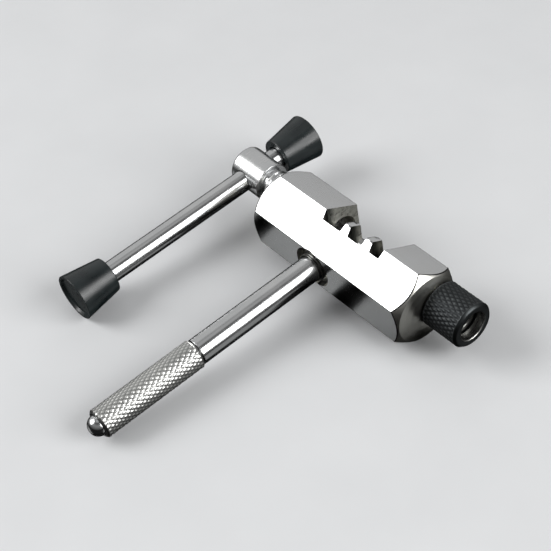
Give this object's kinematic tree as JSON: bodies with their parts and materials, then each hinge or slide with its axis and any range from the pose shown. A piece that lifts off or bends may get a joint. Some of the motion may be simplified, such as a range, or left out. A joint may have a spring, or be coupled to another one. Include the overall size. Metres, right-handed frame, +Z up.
{
  "type": "chain tool",
  "caption": "Hexagonal steel chain rivet tool with drive screw, sliding tommy bar with rubber caps, knurled adjuster and knurled handle.",
  "frame": {"origin": "middle of the tool's footprint on the surface it lies on", "axes": "+X along the drive screw from its head to the adjuster knob, -Y along the handle, +Z up; the block is rolled 4.62 degrees about X, as it lies on its lowest edge and the near rubber cap"},
  "size_m": [0.0764, 0.0898, 0.0196],
  "materials": {
    "block_steel": "polished nickel plate",
    "screw_steel": "polished nickel plate, bright thread",
    "bar_steel": "polished nickel plate",
    "handle_steel": "polished nickel plate",
    "turned_steel": "fine turning marks",
    "knurl_steel": "bright diamond knurl",
    "pin_steel": "ground, hardened",
    "knob_black": "black oxide, fine diamond knurl",
    "cap_rubber": "smooth moulded rubber"
  },
  "bodies": {
    "frame": {"block": "block_steel", "handle_rod": "handle_steel", "handle_collar": "turned_steel", "grip_sleeve": "knurl_steel"},
    "pin": {"press_pin": "pin_steel"},
    "screw": {"drive_screw": "screw_steel", "pin_retainer": "turned_steel"},
    "bar": {"tommy_bar": "bar_steel", "bar_cap_near": "cap_rubber", "bar_cap_far": "cap_rubber"},
    "bush": {"anvil_bush": "pin_steel"},
    "adjuster": {"adjuster_knob": "knob_black", "anvil_sleeve": "turned_steel"},
    "spare": {"spare_pin": "pin_steel"},
    "plug": {"grip_plug": "handle_steel"}
  },
  "joints": [
    {"name": "screw_feed", "type": "slide", "parent": "frame", "child": "pin", "axis": [1, 0, 0], "range_m": [-0.01188, 0.00594]},
    {"name": "screw_turn", "type": "hinge", "parent": "pin", "child": "screw", "pos_m": [0.00385, 0.02838, 0.01004], "axis": [1, 0, 0], "range_deg": [-3421, 1711]},
    {"name": "bar_slide", "type": "slide", "parent": "screw", "child": "bar", "axis": [0, 0.9967, 0.0806], "range_m": [-0.0013, 0.039]},
    {"name": "anvil_feed", "type": "slide", "parent": "frame", "child": "bush", "axis": [1, 0, 0], "range_m": [0, 0.006]},
    {"name": "anvil_turn", "type": "hinge", "parent": "bush", "child": "adjuster", "pos_m": [0.00385, 0.02838, 0.01004], "axis": [1, 0, 0], "range_deg": [0, 2161]},
    {"name": "plug_draw", "type": "slide", "parent": "frame", "child": "spare", "axis": [0, -0.9967, -0.0806], "range_m": [0, 0.007]},
    {"name": "plug_turn", "type": "hinge", "parent": "spare", "child": "plug", "pos_m": [0.00031, 0.02527, 0.00978], "axis": [0, -0.9967, -0.0806], "range_deg": [0, 3601]}
  ],
  "couplings": [
    {"joint": "screw_turn", "follows": "screw_feed", "rad_per_m": 5026.5},
    {"joint": "anvil_turn", "follows": "anvil_feed", "rad_per_m": 6283.2},
    {"joint": "plug_turn", "follows": "plug_draw", "rad_per_m": 8976}
  ]
}
